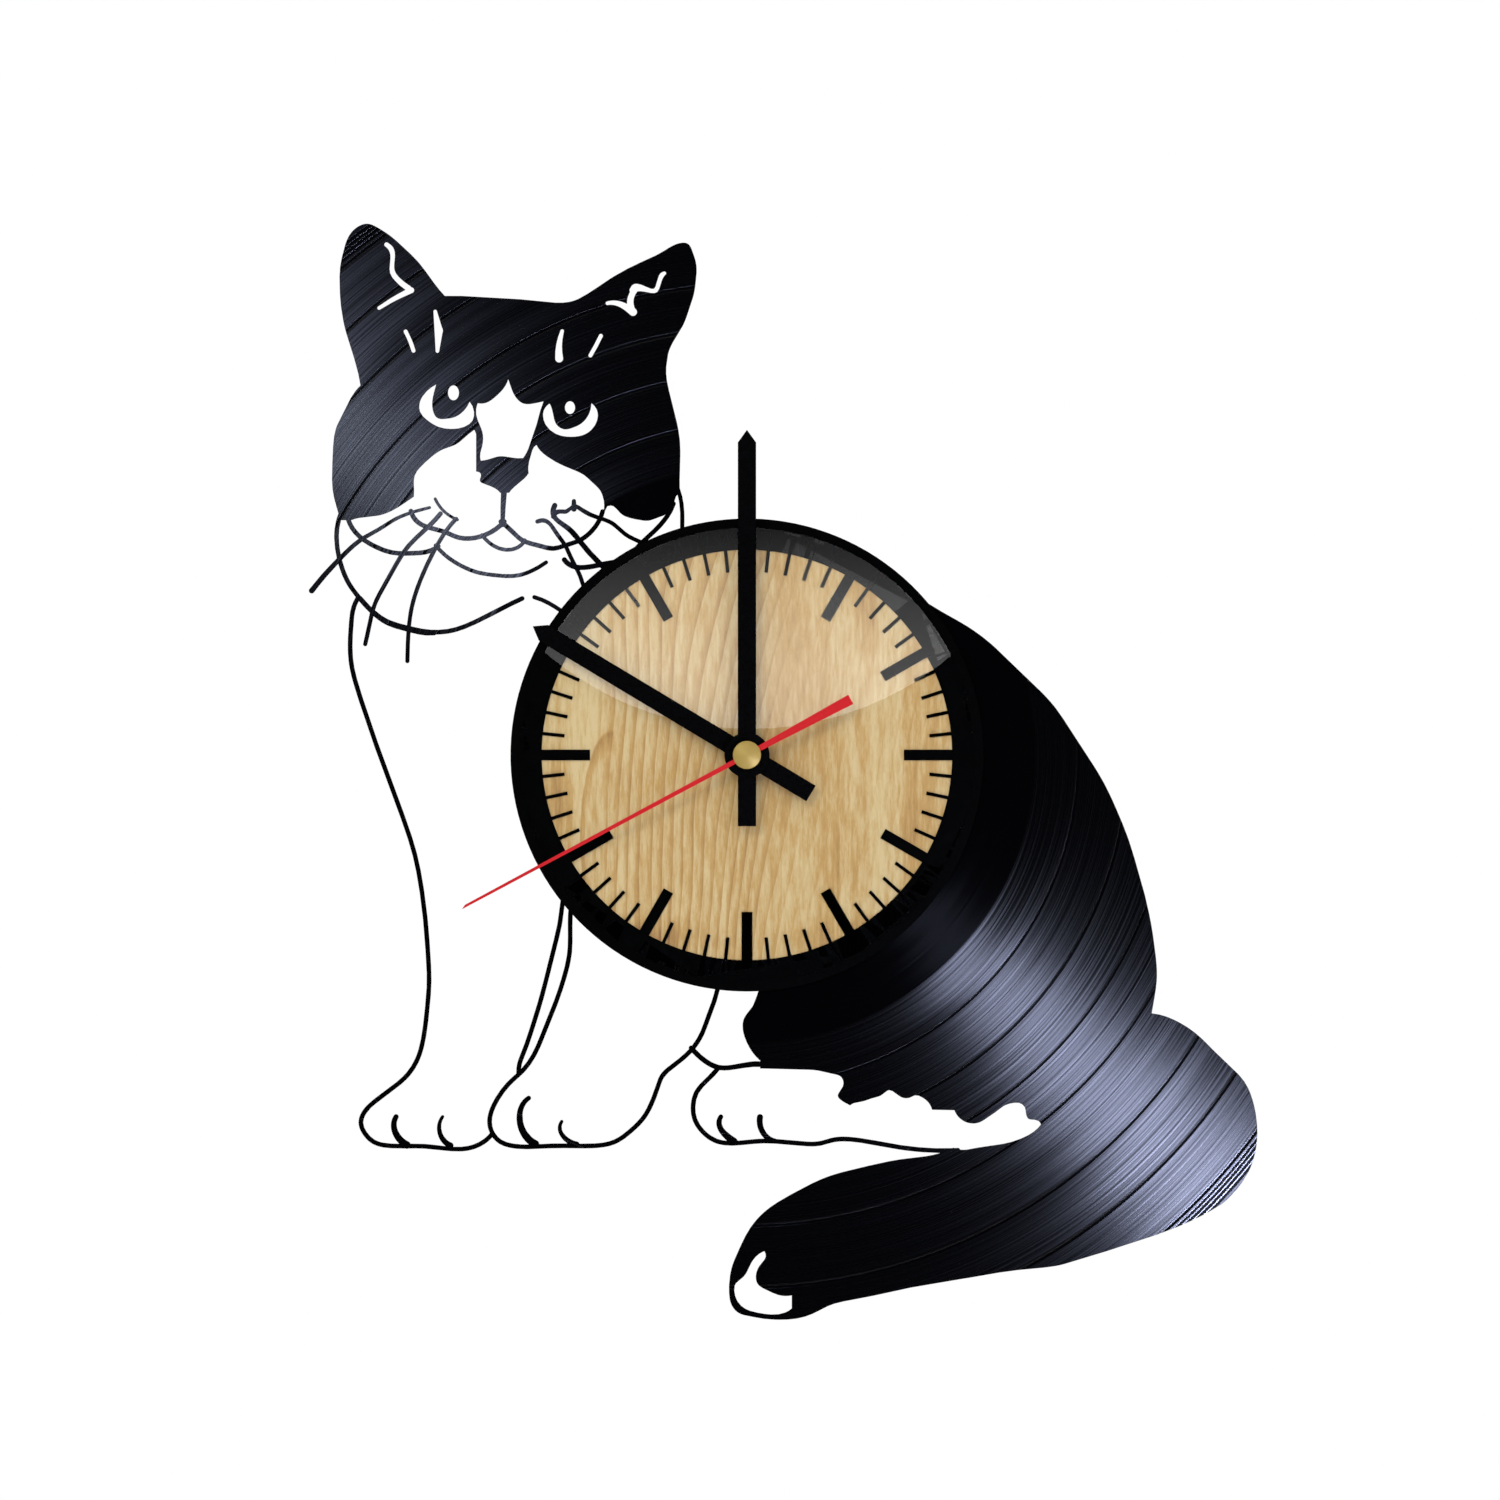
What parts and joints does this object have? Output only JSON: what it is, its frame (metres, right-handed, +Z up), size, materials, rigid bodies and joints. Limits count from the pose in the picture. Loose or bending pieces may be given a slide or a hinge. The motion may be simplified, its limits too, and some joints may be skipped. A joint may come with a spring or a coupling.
{
  "type": "wall clock",
  "caption": "Quartz wall clock cut as a sitting cat from a vinyl record, with a wood dial, bar marks, three hands and a box movement with a hanger behind.",
  "frame": {"origin": "on the hands' axis, in the plane of the wall, at the flat back of the movement", "axes": "+Z up, +X to the right seen from the front, the front faces -Y and +Y points into the wall; clockwise seen from the front is positive about +Y"},
  "size_m": [0.2182, 0.0297, 0.2521],
  "materials": {
    "vinyl": "pressed black vinyl, grooved",
    "wood": "pale plywood, straight grain",
    "marker_black": "laser-cut black sheet",
    "clear_disc": "clear polished sheet",
    "rubber": "matt",
    "brass": "satin turned",
    "steel": "plated",
    "hand_black": "black lacquer",
    "hand_red": "red lacquer",
    "case_plastic": "fine spark-eroded texture",
    "white_plastic": "natural acetal",
    "magnet": "nickelled magnet",
    "soft_iron": "stamped soft iron",
    "copper": "enamelled copper wire",
    "board": "phenolic board",
    "epoxy": "epoxy drop",
    "battery_print": "printed sleeve without text"
  },
  "bodies": {
    "clock": {"record_plate": "vinyl", "wood_dial": "wood", "marker_ring": "marker_black", "dial_glass": "clear_disc", "rubber_washer": "rubber", "front_washer": "brass", "hex_nut": "brass", "hanger": "steel", "stator": "soft_iron", "stator_core": "soft_iron", "coil_bobbin": "white_plastic", "coil_winding": "copper", "circuit_board": "board", "chip_blob": "epoxy", "quartz_crystal": "steel", "case_front": "case_plastic", "middle_plate": "white_plastic", "case_back": "case_plastic", "case_screws": "steel", "contact_positive": "steel", "contact_negative": "steel"},
    "seconds": {"seconds_wheel": "white_plastic", "second_hand": "hand_red", "second_hand_cap": "brass"},
    "minutes": {"minute_arbor": "brass", "minute_hand_collet": "brass", "minute_hand": "hand_black"},
    "hours": {"hour_wheel": "white_plastic", "hour_hand_collet": "brass", "hour_hand": "hand_black"},
    "rotor_body": {"rotor": "white_plastic", "rotor_magnet": "magnet"},
    "intermediate": {"intermediate_wheel": "white_plastic"},
    "third": {"third_wheel": "white_plastic"},
    "centre": {"centre_wheel": "white_plastic"},
    "minute_work": {"minute_work_wheel": "white_plastic"},
    "setting": {"set_knob": "case_plastic"},
    "battery": {"battery_cell": "steel", "battery_sleeve": "battery_print"}
  },
  "joints": [
    {"name": "seconds_spin", "type": "hinge", "parent": "clock", "child": "seconds", "pos_m": [0, 0, 0], "axis": [0, 1, 0], "continuous": true},
    {"name": "minute_spin", "type": "hinge", "parent": "clock", "child": "minutes", "pos_m": [0, 0, 0], "axis": [0, 1, 0], "continuous": true},
    {"name": "hour_spin", "type": "hinge", "parent": "clock", "child": "hours", "pos_m": [0, 0, 0], "axis": [0, 1, 0], "continuous": true},
    {"name": "rotor_spin", "type": "hinge", "parent": "clock", "child": "rotor_body", "pos_m": [-0.01149, 0, 0.01149], "axis": [0, 1, 0], "continuous": true},
    {"name": "intermediate_spin", "type": "hinge", "parent": "clock", "child": "intermediate", "pos_m": [-0.00619, 0, 0.00619], "axis": [0, 1, 0], "continuous": true},
    {"name": "third_spin", "type": "hinge", "parent": "clock", "child": "third", "pos_m": [0.0085, 0, 0], "axis": [0, 1, 0], "continuous": true},
    {"name": "centre_spin", "type": "hinge", "parent": "clock", "child": "centre", "pos_m": [0, 0, 0], "axis": [0, 1, 0], "continuous": true},
    {"name": "minute_work_spin", "type": "hinge", "parent": "clock", "child": "minute_work", "pos_m": [0.00679, 0, 0.00679], "axis": [0, 1, 0], "continuous": true},
    {"name": "knob_spin", "type": "hinge", "parent": "clock", "child": "setting", "pos_m": [0.01639, 0, 0.00679], "axis": [0, 1, 0], "continuous": true},
    {"name": "battery_slide", "type": "slide", "parent": "clock", "child": "battery", "axis": [0, 1, 0], "range_m": [0, 0.022]}
  ],
  "couplings": [
    {"joint": "hour_spin", "follows": "minute_spin", "ratio": 0.083333},
    {"joint": "minute_work_spin", "follows": "minute_spin", "ratio": -0.33333},
    {"joint": "knob_spin", "follows": "minute_spin", "ratio": 1},
    {"joint": "intermediate_spin", "follows": "seconds_spin", "ratio": -6},
    {"joint": "rotor_spin", "follows": "seconds_spin", "ratio": 30},
    {"joint": "third_spin", "follows": "seconds_spin", "ratio": -0.13333},
    {"joint": "centre_spin", "follows": "seconds_spin", "ratio": 0.016667}
  ]
}
